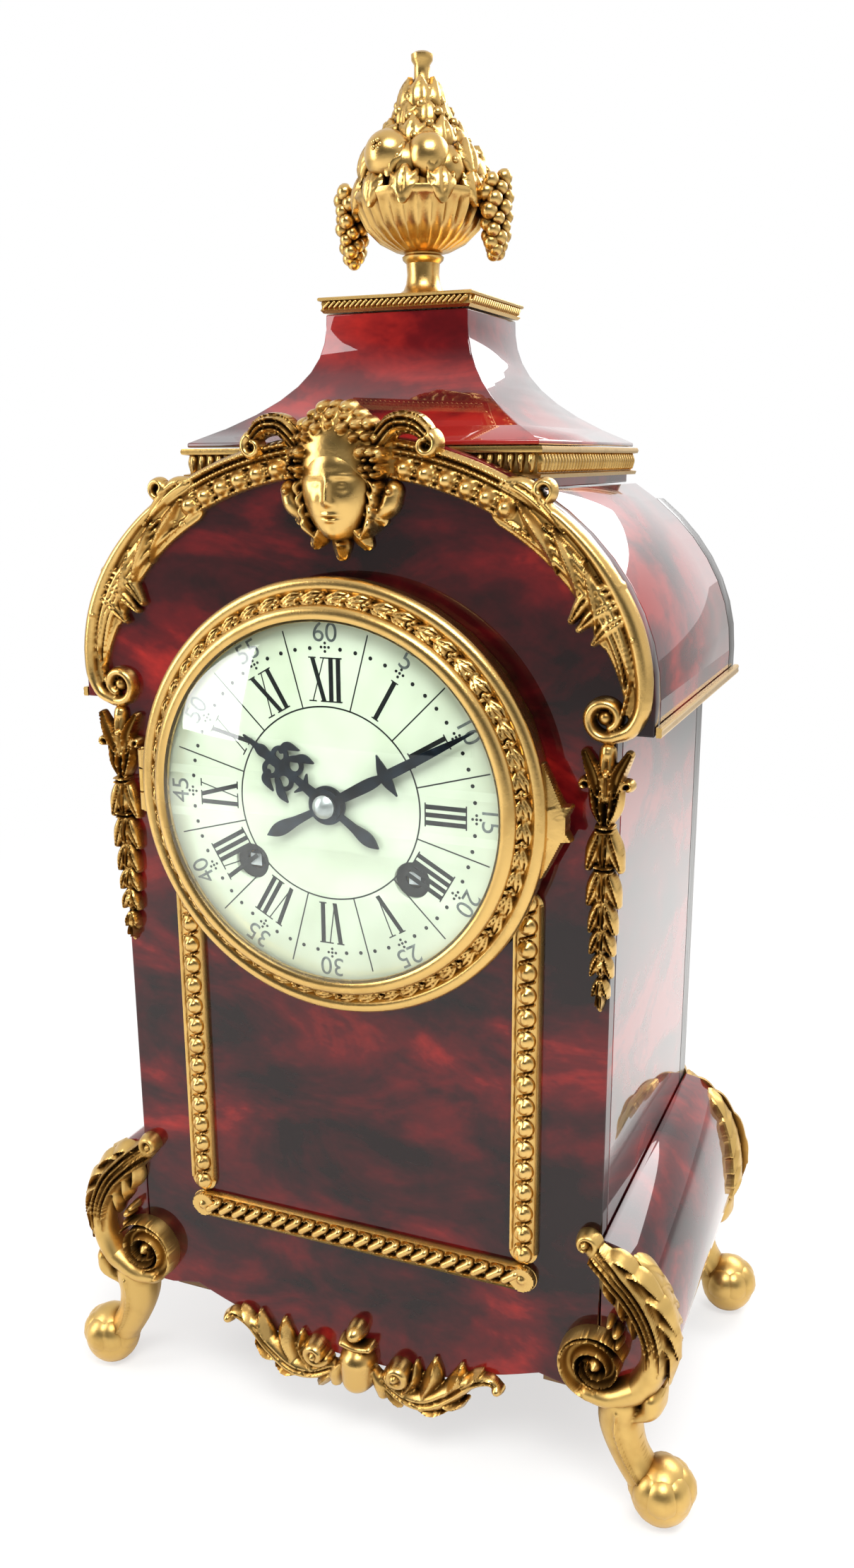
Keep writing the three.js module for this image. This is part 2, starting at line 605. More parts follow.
function addApronMount() {
  const edge = CASE_BOTTOM_Z + 3.8 - APRON_DROP;
  const right = smooth([
    [0, edge - 10.2], [4.5, edge - 8.8], [8, edge - 4.5], [13.5, edge - 5.2], [17, edge - 1.4], [25, edge - 0.6],
    [33, edge + 3.4], [43.5, edge + 6.2], [36, edge + 8.8], [26, edge + 7.2], [18, edge + 9.6], [10, edge + 8.4],
    [5.2, edge + 11.5], [2.8, edge + 14.6], [0, edge + 15.4],
  ], 24);
  const backing = plate(mirrored(right), -RELIEF - 0.6, -SEAT);
  const shell = solid(new THREE.SphereGeometry(1, 8, 5)).scale(7.5, 4.2, 8.5).translate(0, -RELIEF, edge + 0.6);
  const knobs = [-1, 1].map((side) =>
    solid(new THREE.SphereGeometry(1, 6, 5)).scale(4.4, 3, 4.2).translate(side * 13.6, -RELIEF, edge + 0.4),
  );
  add('apron_mount', laidOnBoard(join(backing, shell, ...knobs)), giltBronze);
}

// ---- Corner feet: a volute and leaf on the corner, and a leg that curls out to a knob ----
function footGeometry() {
  const band = 2.6;
  const leafOuter = consoleCurve(SEAT + band, 78, -52, 4);
  const leafInner = consoleCurve(SEAT, 78, -52, 4).reverse();
  const leaf = plate([...leafOuter, ...leafInner], -RELIEF, 13);
  const x = WAIST_HALF;
  const volute = arc(x, VOLUTE_Z, VOLUTE_R, VOLUTE_R, 250, 115, 5);
  const front = [
    ...leafOuter, at(x + 6, CASE_BOTTOM_Z - 1), ...volute, at(x - 3.2, VOLUTE_Z + 14), at(x - 1.4, VOLUTE_Z + 26),
    at(x + 1.4, VOLUTE_Z + 38.5),
  ];
  const scroll = plate(front, -RELIEF - 1, -SEAT);
  const top = CASE_BOTTOM_Z - SEAT;
  const legOuter = smooth([[x + 15, top], [x + 9.6, top - 5], [x + 8, top - 11], [x + 10, top - 17], [x + 15, top - 20.5]], 4);
  const legInner = smooth([[x + 14, 3], [x + 7, 6], [x + 1.6, 12.5], [x - 1, 21], [x - 2, top]], 4);
  const leg = plate([...legOuter, ...legInner], -RELIEF - 1, 9);
  const ball = solid(new THREE.SphereGeometry(FOOT_KNOB_R, 10, 6).rotateX(Math.PI / 2));
  const knob = ball.translate(FOOT_KNOB_X, FOOT_KNOB_Y, FOOT_KNOB_R - FOOT_FLAT);
  const floor = block(0, 200, -100, 100, -50, 0);
  return cut(join(leaf, scroll, leg, knob), floor);
}

function addFeet() {
  const geometry = footGeometry();
  for (const [end, y, sign] of [['front', 0, 1], ['rear', DEPTH, -1]]) {
    for (const [side, mirror] of [['right', 1], ['left', -1]]) {
      const foot = add(`corner_foot_${end}_${side}`, geometry.clone(), giltBronze);
      foot.position.y = y;
      foot.scale.set(mirror, sign, 1);
    }
  }
}

// ---- Dial, bezel and hands ----
const HINGE_X = -BEZEL_R - 2.4;
const HINGE_Y = BEZEL_BASE_Y + 0.15;

function knuckleAbout(z0, z1, bore) {
  const ring = turnedZ([[bore, z0], [KNUCKLE_R, z0], [KNUCKLE_R, z1], [bore, z1]], 10);
  return ring.translate(HINGE_X, HINGE_Y, 0);
}

function addDialRing() {
  const ledge = PAN_BORE_R - 2;
  const flangeFront = BEZEL_BASE_Y + SEAT;
  const profile = [
    [ledge, DIAL_Y + DIAL_THICK + SEAT], [PAN_R - 2, DIAL_Y + DIAL_THICK + SEAT], [PAN_R - 2, DIAL_Y - 0.1],
    [PAN_R, DIAL_Y - 0.1], [PAN_R, flangeFront], [BEZEL_R - 1, flangeFront], [BEZEL_R - 1, -SEAT],
    [PAN_TUBE_R, -SEAT], [PAN_TUBE_R, BOARD + SEAT + 1.6], [PAN_BORE_R, BOARD + SEAT + 1.6],
    [PAN_BORE_R, FRONT_PLATE_Y - SEAT], [ledge, FRONT_PLATE_Y - SEAT],
  ];
  const ring = turnedY(profile, ROUND);
  const straps = [90, 210, 330].map((bearing) => {
    const foot = block(PAN_BORE_R + 0.3, PAN_R + 9, BOARD + SEAT, BOARD + SEAT + 1.6, -6, 6);
    return foot.rotateY(-turnTo(bearing));
  });
  const half = 3;
  const wing = block(HINGE_X + KNUCKLE_R - 0.5, -BEZEL_R + 3, flangeFront, -SEAT, -half, half);
  const arm = block(HINGE_X, HINGE_X + KNUCKLE_R, flangeFront + 0.3, HINGE_Y + KNUCKLE_R - 0.1, -half, half);
  const bore = moved(rodZ(HINGE_PIN_R + TURN, -half - 1, half + 1, 12), HINGE_X, HINGE_Y, 0);
  const hinged = cut(join(ring, ...straps, wing, arm, knuckleAbout(-half, half, HINGE_PIN_R + TURN)), bore);
  add('dial_ring', hinged, brass, movement);
}

// The bezel carries the glass and its own hinge pin, which passes through the ring's knuckle.
function addBezel() {
  const lip = GLASS_OPENING_R;
  const rebate = lip + 1.8;
  const hollow = PAN_R + PASS;
  const front = GLASS_FRONT_Y;
  const profile = [
    [BEZEL_R, BEZEL_BASE_Y], [BEZEL_R, BEZEL_BASE_Y - 3], [BEZEL_R - 2.4, BEZEL_BASE_Y - 4.4],
    [BEZEL_R - 5.4, front + 1.6], [lip + 1.4, front - 0.6], [lip, front], [lip, front + GLASS_LIP],
    [rebate, front + GLASS_LIP], [rebate, front + 2.6], [hollow, front + 2.6], [hollow, BEZEL_BASE_Y],
  ];
  const ring = turnedY(profile, ROUND);
  const lug = plate([
    at(BEZEL_R - 1, -11), at(BEZEL_R + 2.4, -7.4), at(BEZEL_R + 5.5, -3.4), at(BEZEL_R + 3.6, 0),
    at(BEZEL_R + 5.5, 3.4), at(BEZEL_R + 2.4, 7.4), at(BEZEL_R - 1, 11),
  ], BEZEL_BASE_Y - 3.6, BEZEL_BASE_Y - 0.2);
  const knuckles = [[-8.3, -3 - SEAT], [3 + SEAT, 8.3]].flatMap(([z0, z1]) => [
    block(HINGE_X, -BEZEL_R + 2.4, BEZEL_BASE_Y - 1.5, BEZEL_BASE_Y - 0.1, z0, z1),
    moved(rodZ(KNUCKLE_R, z0, z1, 10), HINGE_X, HINGE_Y, 0),
  ]);
  const pin = moved(rodZ(HINGE_PIN_R, -8.8, 8.8, 10), HINGE_X, HINGE_Y, 0);
  add('bezel', join(ring, lug, ...knuckles, pin), giltBronze, movement);

  const rim = rebate - SEAT;
  const edge = lip - 0.4;
  const rimFront = front + GLASS_LIP + SEAT;
  const radius = (edge * edge + GLASS_DOME * GLASS_DOME) / (2 * GLASS_DOME);
  const dome = (r, back) => rimFront - GLASS_DOME + back + radius - Math.sqrt(radius * radius - r * r);
  const steps = [0, 0.6, 1].map((t) => t * edge);
  const outside = steps.map((r) => [r, dome(r, 0)]);
  const inside = steps.map((r) => [r, dome(r, GLASS_THICK)]).reverse();
  const pane = [...outside, [rim, rimFront], [rim, rimFront + GLASS_THICK], ...inside];
  add('bezel_glass', turnedY(pane, ROUND), glass, movement);
}

function addDial() {
  const holes = [
    circle(0, 0, 3.6, 12),
    circle(WINDING_X, -WINDING_DROP, WINDING_HOLE_R, 12),
    circle(-WINDING_X, -WINDING_DROP, WINDING_HOLE_R, 12),
  ];
  const disc = plate(circle(0, 0, PAN_R - 2 - SEAT, ROUND), DIAL_Y, DIAL_Y + DIAL_THICK, holes);
  add('dial_plate', disc, enamel, movement);
}

const HOUR_HAND_Y = DIAL_Y - HAND_GAP - HAND_THICK;
const MINUTE_HAND_Y = HOUR_HAND_Y - HANDS_APART - HAND_THICK;

function addHands() {
  const long = HOUR_HAND_LENGTH / 28;
  const hour = mirrored([
    at(0, -16.6 * long), at(1.1, -14.4 * long), at(3, -13 * long), at(2.4, -10.6 * long), at(1.1, -8.6 * long),
    at(1.4, -4.6), ...arc(0, 0, 4.7, 4.7, -66, 66, 5), at(2, 5.6), at(5.2, 10 * long), at(5.8, 13.6 * long),
    at(3.6, 17.6 * long), at(1.2, 20 * long), at(2.2, 23 * long), at(0, HOUR_HAND_LENGTH),
  ]);
  const pierced = mirrored([at(0, 7.4), at(2.6, 11 * long), at(3, 13.6 * long), at(1.6, 16.4 * long), at(0, 17.4 * long)]);
  const hourHole = circle(0, 0, HOUR_PIPE_R + 0.2, 12);
  const hourHand = add(
    'hour_hand', plate(hour, HOUR_HAND_Y, HOUR_HAND_Y + HAND_THICK, [hourHole, pierced]), bluedSteel, movement,
  );
  hourHand.rotation.y = turnTo(30 * (SHOWN_HOURS + SHOWN_MINUTES / 60));

  const reach = MINUTE_HAND_LENGTH / 44;
  const minute = mirrored([
    at(0, -18.5 * reach), at(1, -16.6 * reach), at(2.7, -14 * reach), at(1.2, -11 * reach), at(0.9, -4),
    ...arc(0, 0, 3.7, 3.7, -70, 70, 5), at(1.2, 4.4), at(1, 14 * reach), at(2.9, 17.4 * reach), at(2.6, 20.4 * reach),
    at(1, 23 * reach), at(0.9, 32 * reach), at(0, MINUTE_HAND_LENGTH),
  ]);
  const minuteHole = circle(0, 0, HAND_ARBOR_R + 0.2, 12);
  const minuteHand = add(
    'minute_hand', plate(minute, MINUTE_HAND_Y, MINUTE_HAND_Y + HAND_THICK, [minuteHole]), bluedSteel, movement,
  );
  minuteHand.rotation.y = turnTo(6 * SHOWN_MINUTES);

  const nutFoot = MINUTE_HAND_Y - SEAT;
  const nut = [[0, nutFoot], [2.6, nutFoot], [2.6, nutFoot - 0.7], [1.8, nutFoot - 1.4], [0, nutFoot - 1.7]];
  add('hand_nut', turnedY(nut, 14), steel, movement);
}

// ---- Gearing ----
// Teeth are trapezoids that thin towards the tip, with play at the pitch circle.
const WHEEL_TOOTH = { addendum: 0.9, dedendum: 1.2, tip: 0.42, root: 1.15 };
const LEAF = { addendum: 0.7, dedendum: 1.2, tip: 0.42, root: 0.9 };

function gearOutline(teeth, module, phase, tooth) {
  const pitchR = (teeth * module) / 2;
  const tipR = pitchR + tooth.addendum * module;
  const rootR = pitchR - tooth.dedendum * module;
  const quarter = (Math.PI * module) / 4;
  const tipHalf = (quarter * tooth.tip) / tipR;
  const rootHalf = (quarter * tooth.root) / rootR;
  const corners = [[rootR, -rootHalf], [tipR, -tipHalf], [tipR, tipHalf], [rootR, rootHalf]];
  const points = [];
  for (let i = 0; i < teeth; i++) {
    const middle = phase + (2 * Math.PI * i) / teeth;
    for (const [r, turn] of corners) points.push(at(r * Math.cos(middle + turn), r * Math.sin(middle + turn)));
  }
  return points;
}

// The phase that puts a follower's gap on the line of centres where the driver has a tooth.
function meshPhase(driverPhase, driverTeeth, bearing, followerTeeth) {
  return bearing + Math.PI + Math.PI / followerTeeth - (driverTeeth / followerTeeth) * (driverPhase - bearing);
}

function crossings(inner, outer, spokes, spokeHalf) {
  const holes = [];
  for (let i = 0; i < spokes; i++) {
    const from = (360 * i) / spokes;
    const to = (360 * (i + 1)) / spokes;
    const slim = (r) => THREE.MathUtils.radToDeg(spokeHalf / r);
    holes.push([
      ...arc(0, 0, outer, outer, from + slim(outer), to - slim(outer), 3),
      ...arc(0, 0, inner, inner, to - slim(inner), from + slim(inner), 1),
    ]);
  }
  return holes;
}

const centresOf = (teeth, module, leaves) => (module * (teeth + leaves)) / 2;
const bearingOf = (from, to) => Math.atan2(to.y - from.y, to.x - from.x);
const stepFrom = (from, degrees, distance) =>
  at(from.x + distance * Math.cos(turnTo(degrees)), from.y + distance * Math.sin(turnTo(degrees)));

// Where two arms of known length from two known arbors meet, on the left of the line from a to b.
function arborBetween(a, armA, b, armB) {
  const apart = a.distanceTo(b);
  const along = (armA * armA - armB * armB + apart * apart) / (2 * apart);
  const across = Math.sqrt(armA * armA - along * along);
  const unit = b.clone().sub(a).divideScalar(apart);
  return at(a.x + unit.x * along - unit.y * across, a.y + unit.y * along + unit.x * across);
}

// Arbor centres, seen from the front with the hand arbor at the middle.
const HAND_ARBOR = at(0, 0);
const GOING_BARREL = at(WINDING_X, -WINDING_DROP);
const STRIKE_BARREL = at(-WINDING_X, -WINDING_DROP);
const GREAT_CENTRES = centresOf(GREAT_TEETH, GREAT_MODULE, PINION_LEAVES);
const SECOND_ARBOR = arborBetween(
  HAND_ARBOR, centresOf(SECOND_TEETH, SECOND_MODULE, PINION_LEAVES), GOING_BARREL, GREAT_CENTRES,
);
const THIRD_ARBOR = stepFrom(HAND_ARBOR, THIRD_BEARING, centresOf(CENTRE_TEETH, CENTRE_MODULE, PINION_LEAVES));
const THIRD_REACH = centresOf(THIRD_TEETH, THIRD_MODULE, PINION_LEAVES);
const ESCAPE_ARBOR = at(0, THIRD_ARBOR.y + Math.sqrt(THIRD_REACH ** 2 - THIRD_ARBOR.x ** 2));
const ANCHOR_ARBOR = at(0, ESCAPE_ARBOR.y + PALLET_CENTRES);
const MOTION_ARBOR = at(0, -MOTION_CENTRES);
const PIN_WHEEL_ARBOR = stepFrom(STRIKE_BARREL, PIN_WHEEL_BEARING, GREAT_CENTRES);
const FLY_ARBOR = stepFrom(PIN_WHEEL_ARBOR, FLY_BEARING, centresOf(PIN_WHEEL_TEETH, PIN_WHEEL_MODULE, PINION_LEAVES));
const HAMMER_ARBOR = at(HAMMER_X, HAMMER_UP);
const BELL_STUD = at(BELL_X, BELL_UP);

// Depths of the wheels between the plates, from the front plate back.
const GREAT_Y = 0.5;
const WHEEL = 1.2;
const DRUM_END_Y = 15;
const SECOND_WHEEL_Y = 16;
const CENTRE_WHEEL_Y = 19;
const THIRD_WHEEL_Y = 21.4;
const ESCAPE_WHEEL_Y = 24;
const PLATE_INNER_Y = FRONT_PLATE_Y + PLATE;
const CANNON_Y = FRONT_PLATE_Y - 1.9;

// Phases follow the train outwards from each barrel.
const SECOND_PHASE = meshPhase(0, GREAT_TEETH, bearingOf(GOING_BARREL, SECOND_ARBOR), PINION_LEAVES);
const CENTRE_PHASE = meshPhase(0, SECOND_TEETH, bearingOf(SECOND_ARBOR, HAND_ARBOR), PINION_LEAVES);
const THIRD_PHASE = meshPhase(0, CENTRE_TEETH, bearingOf(HAND_ARBOR, THIRD_ARBOR), PINION_LEAVES);
const ESCAPE_PHASE = meshPhase(0, THIRD_TEETH, bearingOf(THIRD_ARBOR, ESCAPE_ARBOR), PINION_LEAVES);
const MOTION_BEARING = bearingOf(HAND_ARBOR, MOTION_ARBOR);
const MINUTE_PHASE = meshPhase(0, CANNON_TEETH, MOTION_BEARING, MINUTE_TEETH);
const HOUR_PHASE = meshPhase(0, HOUR_PINION_TEETH, MOTION_BEARING + Math.PI, HOUR_TEETH);
const PIN_PHASE = meshPhase(0, GREAT_TEETH, bearingOf(STRIKE_BARREL, PIN_WHEEL_ARBOR), PINION_LEAVES);
const FLY_PHASE = meshPhase(0, PIN_WHEEL_TEETH, bearingOf(PIN_WHEEL_ARBOR, FLY_ARBOR), PINION_LEAVES);

function wheel(teeth, module, y, thick, boreR, spokes) {
  const rootR = (teeth * module) / 2 - WHEEL_TOOTH.dedendum * module;
  const holes = boreR ? [circle(0, 0, boreR, 8)] : [];
  if (spokes) holes.push(...crossings(rootR * 0.34, rootR * 0.84, spokes, rootR * 0.07));
  return plate(gearOutline(teeth, module, 0, WHEEL_TOOTH), y, y + thick, holes);
}

const pinion = (module, phase, y0, y1) => plate(gearOutline(PINION_LEAVES, module, phase, LEAF), y0, y1);

// An arbor that runs in both plates.
const arbor = () => rodY(ARBOR_R, FRONT_PLATE_Y + 0.2, PLATE_BACK_Y + PLATE - 0.2, 8);

const place = (name, geometry, material, arborAt) =>
  add(name, geometry.translate(arborAt.x, 0, arborAt.y), material, movement);

function barrel() {
  const boreR = BARREL_ARBOR_R + TURN;
  const great = wheel(GREAT_TEETH, GREAT_MODULE, GREAT_Y, 2, boreR, 0);
  const drum = turnedY([
    [boreR, GREAT_Y + 1], [BARREL_R, GREAT_Y + 1], [BARREL_R, DRUM_END_Y], [boreR, DRUM_END_Y],
  ], 16);
  return join(great, drum);
}

function windingArbor() {
  const squareHalf = WINDING_SQUARE / 2;
  const square = block(
    -squareHalf, squareHalf, DIAL_Y + DIAL_THICK + 0.4, FRONT_PLATE_Y - 0.2, -squareHalf, squareHalf,
  );
  const shaft = rodY(BARREL_ARBOR_R, FRONT_PLATE_Y - 0.4, PLATE_BACK_Y + PLATE + 1, 8);
  return join(square, shaft);
}

function addGoingTrain() {
  place('going_barrel', barrel(), brass, GOING_BARREL);
  place('going_winding_arbor', windingArbor(), steel, GOING_BARREL);
  const second = join(
    arbor(), pinion(GREAT_MODULE, SECOND_PHASE, GREAT_Y - 0.4, GREAT_Y + 2.6),
    wheel(SECOND_TEETH, SECOND_MODULE, SECOND_WHEEL_Y, WHEEL, 0, 3),
  );
  place('going_second_wheel', second, brass, SECOND_ARBOR);

  // The hand arbor: its front end carries the cannon pinion and the minute hand.
  const cannonModule = (2 * MOTION_CENTRES) / (CANNON_TEETH + MINUTE_TEETH);
  const front = rodY(HAND_ARBOR_R, MINUTE_HAND_Y - 0.1, PLATE_INNER_Y + 1, 10);
  const cannon = plate(gearOutline(CANNON_TEETH, cannonModule, 0, LEAF), CANNON_Y, CANNON_Y + WHEEL);
  const centre = join(
    arbor(), front, cannon, pinion(SECOND_MODULE, CENTRE_PHASE, SECOND_WHEEL_Y - 0.4, SECOND_WHEEL_Y + WHEEL + 0.4),
    wheel(CENTRE_TEETH, CENTRE_MODULE, CENTRE_WHEEL_Y, WHEEL, 0, 3),
  );
  place('centre_wheel', centre, brass, HAND_ARBOR);

  const third = join(
    arbor(), pinion(CENTRE_MODULE, THIRD_PHASE, CENTRE_WHEEL_Y - 0.4, CENTRE_WHEEL_Y + WHEEL + 0.3),
    wheel(THIRD_TEETH, THIRD_MODULE, THIRD_WHEEL_Y, 1, 0, 3),
  );
  place('third_wheel', third, brass, THIRD_ARBOR);

  const saw = [];
  for (let i = 0; i < ESCAPE_TEETH; i++) {
    const tip = (2 * Math.PI * i) / ESCAPE_TEETH;
    const root = tip + 0.6 / ESCAPE_TEETH;
    const rootR = ESCAPE_R * 0.82;
    saw.push(at(ESCAPE_R * Math.cos(tip), ESCAPE_R * Math.sin(tip)), at(rootR * Math.cos(root), rootR * Math.sin(root)));
  }
  const escape = join(
    arbor(), pinion(THIRD_MODULE, ESCAPE_PHASE, THIRD_WHEEL_Y - 0.4, THIRD_WHEEL_Y + 1.4),
    plate(saw, ESCAPE_WHEEL_Y, ESCAPE_WHEEL_Y + 1, crossings(ESCAPE_R * 0.3, ESCAPE_R * 0.66, 3, 0.5)),
  );
  place('escape_wheel', escape, brass, ESCAPE_ARBOR);
}

function addMotionWork() {
  const minuteModule = (2 * MOTION_CENTRES) / (CANNON_TEETH + MINUTE_TEETH);
  const hourModule = (2 * MOTION_CENTRES) / (HOUR_PINION_TEETH + HOUR_TEETH);
  const hourY = CANNON_Y - WHEEL - 1.2;
  const boreR = ARBOR_R + TURN;
  const minuteOutline = gearOutline(MINUTE_TEETH, minuteModule, MINUTE_PHASE, WHEEL_TOOTH);
  const leaves = gearOutline(HOUR_PINION_TEETH, hourModule, 0, LEAF);
  const minute = join(
    plate(minuteOutline, CANNON_Y, CANNON_Y + WHEEL, [circle(0, 0, boreR, 8)]),
    plate(leaves, hourY - 0.2, CANNON_Y + 0.2, [circle(0, 0, boreR, 8)]),
  );
  place('minute_wheel', minute, brass, MOTION_ARBOR);

  const pipeBoreR = HAND_ARBOR_R + 0.5;
  const hourOutline = gearOutline(HOUR_TEETH, hourModule, HOUR_PHASE, WHEEL_TOOTH);
  const pipe = turnedY([
    [pipeBoreR, hourY], [HOUR_PIPE_R, hourY], [HOUR_PIPE_R, HOUR_HAND_Y - 0.1],
    [pipeBoreR, HOUR_HAND_Y - 0.1],
  ], 12);
  const hour = join(plate(hourOutline, hourY, hourY + WHEEL, [circle(0, 0, pipeBoreR, 12)]), pipe);
  place('hour_wheel', hour, brass, HAND_ARBOR);
}

// The anchor stands clear of the escape wheel's tips through its whole swing. Its arbor comes out
// behind the back plate and carries the crutch, whose fork holds the pendulum rod.
function addEscapement() {
  const reach = ESCAPE_R / 8;
  const arms = mirrored([
    at(0, 3), at(3, 1.6), at(9.4 * reach, -4.6), at(10.2 * reach, -8.6), at(8.9 * reach, -8.8), at(7.6 * reach, -5.2),
    at(0, -1.75),
  ]);
  const crutchY = PLATE_BACK_Y + PLATE + 1.9;
  const forkZ = -PENDULUM_DROP * 0.19;
  const forkBack = PENDULUM_Y + 2.6;
  const rodHalf = PENDULUM_ROD_R;
  const prongs = [-1, 1].map((side) => {
    const inner = rodHalf + 0.5;
    const x0 = side > 0 ? inner : -inner - 1.2;
    return block(x0, x0 + 1.2, PENDULUM_Y - 3.4, forkBack, forkZ - 1, forkZ + 1);
  });
  const anchor = join(
    rodY(ARBOR_R, FRONT_PLATE_Y + 0.2, crutchY + 5.4, 8),
    plate(arms, ESCAPE_WHEEL_Y - 0.2, ESCAPE_WHEEL_Y + 1.2),
    block(-1.2, 1.2, crutchY, crutchY + 1.4, forkZ - 1, 1.4),
    block(-1.2, 1.2, crutchY + 1, PENDULUM_Y - 3.2, forkZ - 1, forkZ + 1),
    block(-rodHalf - 1.7, rodHalf + 1.7, PENDULUM_Y - 4.4, PENDULUM_Y - 3.2, forkZ - 1, forkZ + 1),
    ...prongs,
  );
  place('anchor', anchor, steel, ANCHOR_ARBOR);

  const barY = crutchY + 5.7;
  const barBack = barY + 2.6;
  const tall = COCK_TALL / 2;
  const footWide = 4;
  const feet = [-1, 1].map((side) => {
    const x0 = side > 0 ? COCK_HALF - footWide : -COCK_HALF;
    return block(x0, x0 + footWide, PLATE_BACK_Y + PLATE + SEAT, barY + 1, -tall, tall);
  });
  const bar = block(-COCK_HALF, COCK_HALF, barY, barBack, -tall, tall);
  const socket = rodY(ARBOR_R + TURN, barY - 1, barY + 0.6, 12);
  const stud = rodY(PENDULUM_STUD_R, barBack - 0.5, PENDULUM_Y + 3.2, 10);
  place('suspension_cock', join(cut(join(bar, ...feet), socket), stud), brass, ANCHOR_ARBOR);
}

function addPendulum() {
  const chopHalf = 1.4;
  const chopOutline = [...arc(0, 0, 3.4, 3.4, 0, 180, 8), at(-2.2, -7), at(2.2, -7)];
  const chopBore = circle(0, 0, PENDULUM_STUD_R + TURN, 12);
  const chop = plate(chopOutline, PENDULUM_Y - chopHalf, PENDULUM_Y + chopHalf, [chopBore]);
  const rodFoot = -PENDULUM_DROP - BOB_R - 3;
  const rod = moved(rodZ(PENDULUM_ROD_R, rodFoot, -6, 8), 0, PENDULUM_Y, 0);
  const nutR = 3;
  const nut = moved(rodZ(nutR, rodFoot, rodFoot + 2.4, 10), 0, PENDULUM_Y, 0);
  place('pendulum_rod', join(chop, rod, nut), brass, ANCHOR_ARBOR);

  const half = BOB_THICK / 2;
  const lens = turnedY([
    [0, -half], [BOB_R * 0.55, -half * 0.85], [BOB_R * 0.9, -half * 0.35], [BOB_R, 0],
    [BOB_R * 0.9, half * 0.35], [BOB_R * 0.55, half * 0.85], [0, half],
  ], 16).translate(0, PENDULUM_Y, -PENDULUM_DROP);
  const bore = moved(rodZ(PENDULUM_ROD_R + TURN, rodFoot, 0, 10), 0, PENDULUM_Y, 0);
  place('pendulum_bob', cut(lens, bore), brass, ANCHOR_ARBOR);
}

function addStrike() {
  place('strike_barrel', barrel(), brass, STRIKE_BARREL);
  place('strike_winding_arbor', windingArbor(), steel, STRIKE_BARREL);

  const pins = [];
  const pinR = 0.6;
  for (let i = 0; i < LIFTING_PINS; i++) {
    const spot = stepFrom(at(0, 0), (360 * i) / LIFTING_PINS + 45, LIFTING_PIN_RING_R);
    pins.push(moved(rodY(pinR, SECOND_WHEEL_Y + 0.6, SECOND_WHEEL_Y + WHEEL + 2, 5), spot.x, 0, spot.y));
  }
  const pinWheel = join(
    arbor(), pinion(GREAT_MODULE, PIN_PHASE, GREAT_Y - 0.4, GREAT_Y + 2.6),
    wheel(PIN_WHEEL_TEETH, PIN_WHEEL_MODULE, SECOND_WHEEL_Y, WHEEL, 0, 3), ...pins,
  );
  place('pin_wheel', pinWheel, brass, PIN_WHEEL_ARBOR);

  const fly = join(
    arbor(), pinion(PIN_WHEEL_MODULE, FLY_PHASE, SECOND_WHEEL_Y - 0.4, SECOND_WHEEL_Y + WHEEL + 0.4),
    block(-6.4, 6.4, 4, 13, -0.5, 0.5),
  );
  place('fly', fly, brass, FLY_ARBOR);

  // The hammer: a tail that the pins pass, and an arm behind the plate that ends beside the bell's rim.
  const toPins = PIN_WHEEL_ARBOR.clone().sub(HAMMER_ARBOR);
  const tailLength = toPins.length() - LIFTING_PIN_RING_R - pinR - 0.5;
  const tail = block(0, tailLength, SECOND_WHEEL_Y + WHEEL + 0.6, SECOND_WHEEL_Y + WHEEL + 1.8, -0.9, 0.9);
  tail.rotateY(-toPins.angle());
  const headR = HAMMER_HEAD_R;
  const headAt = BELL_STUD.clone().add(at(-24.5, -11).setLength(BELL_R + headR + 0.4));
  const toHead = headAt.clone().sub(HAMMER_ARBOR);
  const armY = BELL_MOUTH_Y - 4;
  const arm = block(0, toHead.length(), armY, armY + 1.8, -0.9, 0.9).rotateY(-toHead.angle());
  const head = moved(rodY(headR, armY - 0.6, BELL_MOUTH_Y + 5, 12), toHead.x, 0, toHead.y);
  const staff = rodY(ARBOR_R, FRONT_PLATE_Y + 0.2, armY + 1.8, 8);
  place('hammer', join(staff, tail, arm, head), steel, HAMMER_ARBOR);

  const wall = BELL_WALL;
  const crownY = BELL_MOUTH_Y + BELL_DEEP;
  const boreR = BELL_STUD_R + TURN;
  const bellProfile = [
    [boreR, crownY], [BELL_R * 0.5, crownY - 0.6], [BELL_R * 0.86, crownY - BELL_DEEP * 0.36],
    [BELL_R, BELL_MOUTH_Y], [BELL_R - wall, BELL_MOUTH_Y], [BELL_R * 0.86 - wall, crownY - BELL_DEEP * 0.36 - 0.6],
    [BELL_R * 0.5 - 0.4, crownY - 0.6 - wall], [boreR, crownY - wall],
  ];
  place('bell', turnedY(bellProfile, 16), bellMetal, BELL_STUD);
}

// ---- Movement plates ----
function plateHoles(winding) {
  const pivots = [HAND_ARBOR, SECOND_ARBOR, THIRD_ARBOR, ESCAPE_ARBOR, PIN_WHEEL_ARBOR, FLY_ARBOR];
  return [
    ...pivots.map((p) => circle(p.x, p.y, ARBOR_R + TURN, 6)),
    ...[GOING_BARREL, STRIKE_BARREL].map((p) => circle(p.x, p.y, winding, 8)),
  ];
}

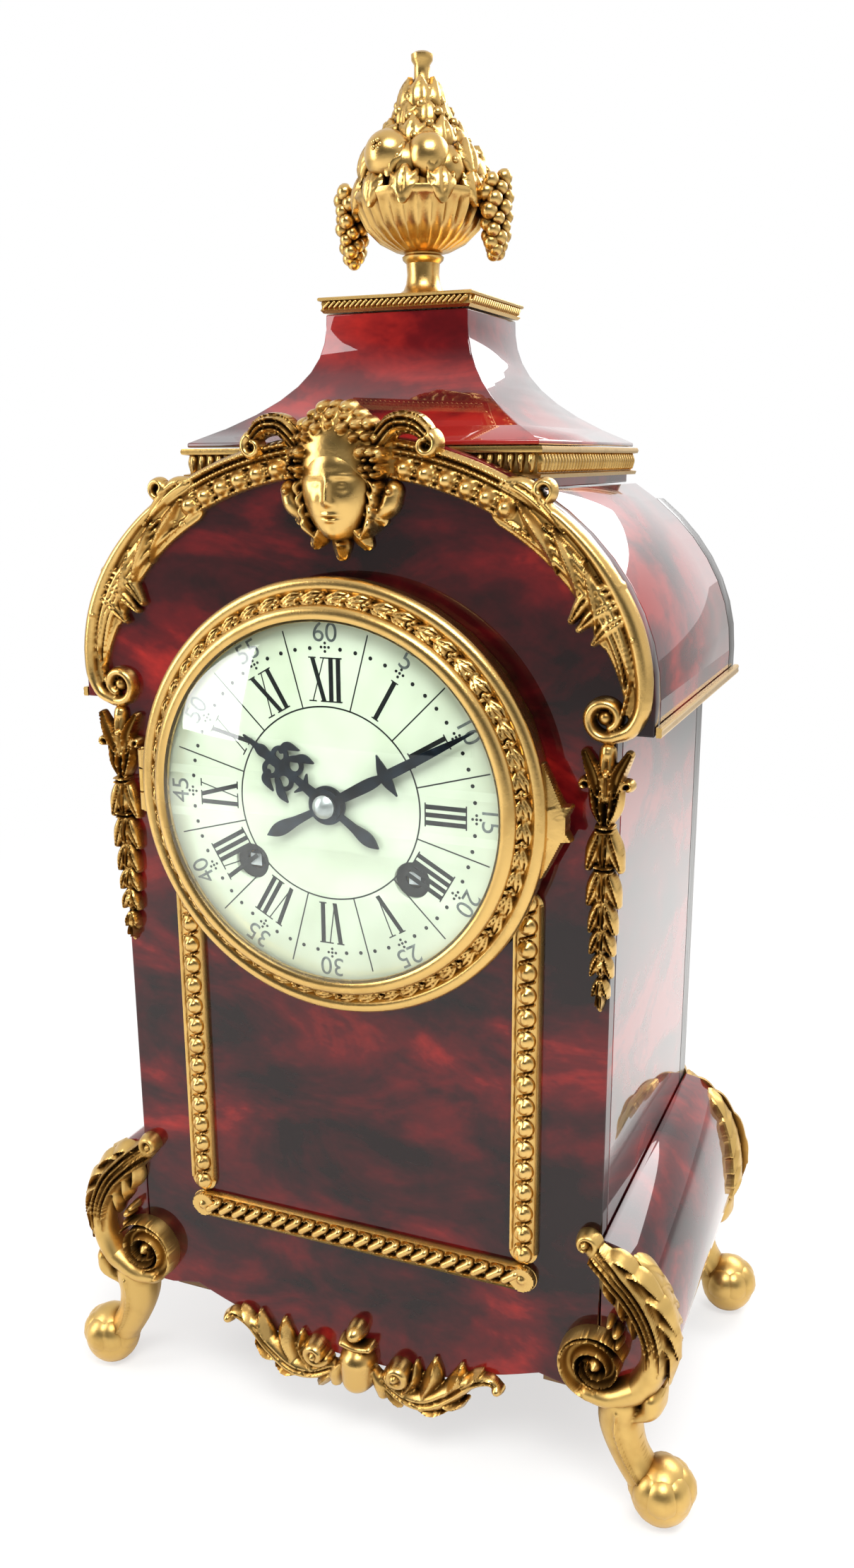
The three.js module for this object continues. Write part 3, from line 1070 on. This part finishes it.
function addPlates() {
  const lugs = [30, 150, 270];
  const outline = [];
  const steps = 36;
  for (let i = 0; i < steps; i++) {
    const degrees = (360 * i) / steps;
    const onLug = lugs.some((lug) => Math.abs(degrees - lug) <= 5);
    outline.push(stepFrom(at(0, 0), degrees, onLug ? PAN_BORE_R - 0.4 : PLATE_R));
  }
  const holes = plateHoles(BARREL_ARBOR_R + TURN);
  holes[0] = circle(0, 0, HAND_ARBOR_R + TURN, 12);
  for (const p of [ANCHOR_ARBOR, HAMMER_ARBOR]) holes.push(circle(p.x, p.y, ARBOR_R + TURN, 6));
  const pillarRing = PLATE_R - 3.6;
  const pillars = [15, 60, 150, 270].map((bearing) => {
    const spot = stepFrom(at(0, 0), bearing, pillarRing);
    const profile = [
      [0, PLATE_INNER_Y - 0.5], [PILLAR_R + 0.7, PLATE_INNER_Y - 0.5], [PILLAR_R, PLATE_INNER_Y + 4],
      [PILLAR_R, PLATE_BACK_Y - 4], [PILLAR_R + 0.7, PLATE_BACK_Y - SEAT], [0, PLATE_BACK_Y - SEAT],
    ];
    return moved(turnedY(profile, 8), spot.x, 0, spot.y);
  });
  const motionStud = moved(rodY(ARBOR_R, FRONT_PLATE_Y - 5.4, PLATE_INNER_Y - 0.5, 10), MOTION_ARBOR.x, 0, MOTION_ARBOR.y);
  const front = plate(outline, FRONT_PLATE_Y, PLATE_INNER_Y, holes);
  add('front_plate', join(front, ...pillars, motionStud), brass, movement);

  const backHoles = plateHoles(BARREL_ARBOR_R + TURN);
  for (const p of [ANCHOR_ARBOR, HAMMER_ARBOR]) backHoles.push(circle(p.x, p.y, ARBOR_R + TURN, 6));
  const back = plate(circle(0, 0, PLATE_R, 30), PLATE_BACK_Y, PLATE_BACK_Y + PLATE, backHoles);
  const crownY = BELL_MOUTH_Y + BELL_DEEP;
  const stud = turnedY([
    [0, PLATE_BACK_Y + 1], [3.4, PLATE_BACK_Y + 1], [3.4, PLATE_BACK_Y + 5], [BELL_STUD_R, PLATE_BACK_Y + 6.5],
    [BELL_STUD_R, crownY - 4.4], [3.4, crownY - 3.8], [3.4, crownY - BELL_WALL - SEAT],
    [BELL_STUD_R, crownY - BELL_WALL - SEAT],
    [BELL_STUD_R, crownY + SEAT], [3, crownY + SEAT], [3, crownY + 2.4], [0, crownY + 3],
  ], 12);
  add('back_plate', join(back, moved(stud, BELL_STUD.x, 0, BELL_STUD.y)), brass, movement);
}

addFrontBoard();
addSides();
addFloor();
addConsoles();
addRoof(addHood());
addBack();
addArchMounts();
addMask();
addGarlands();
addPanelBorder();
addApronMount();
addFeet();
addDialRing();
addBezel();
addDial();
addHands();
addGoingTrain();
addMotionWork();
addEscapement();
addPendulum();
addStrike();
addPlates();

// The origin is on the floor under the middle of the clock.
const extent = new THREE.Box3().setFromObject(clock);
clock.position.y = -(extent.min.y + extent.max.y) / 2;

export default clock;
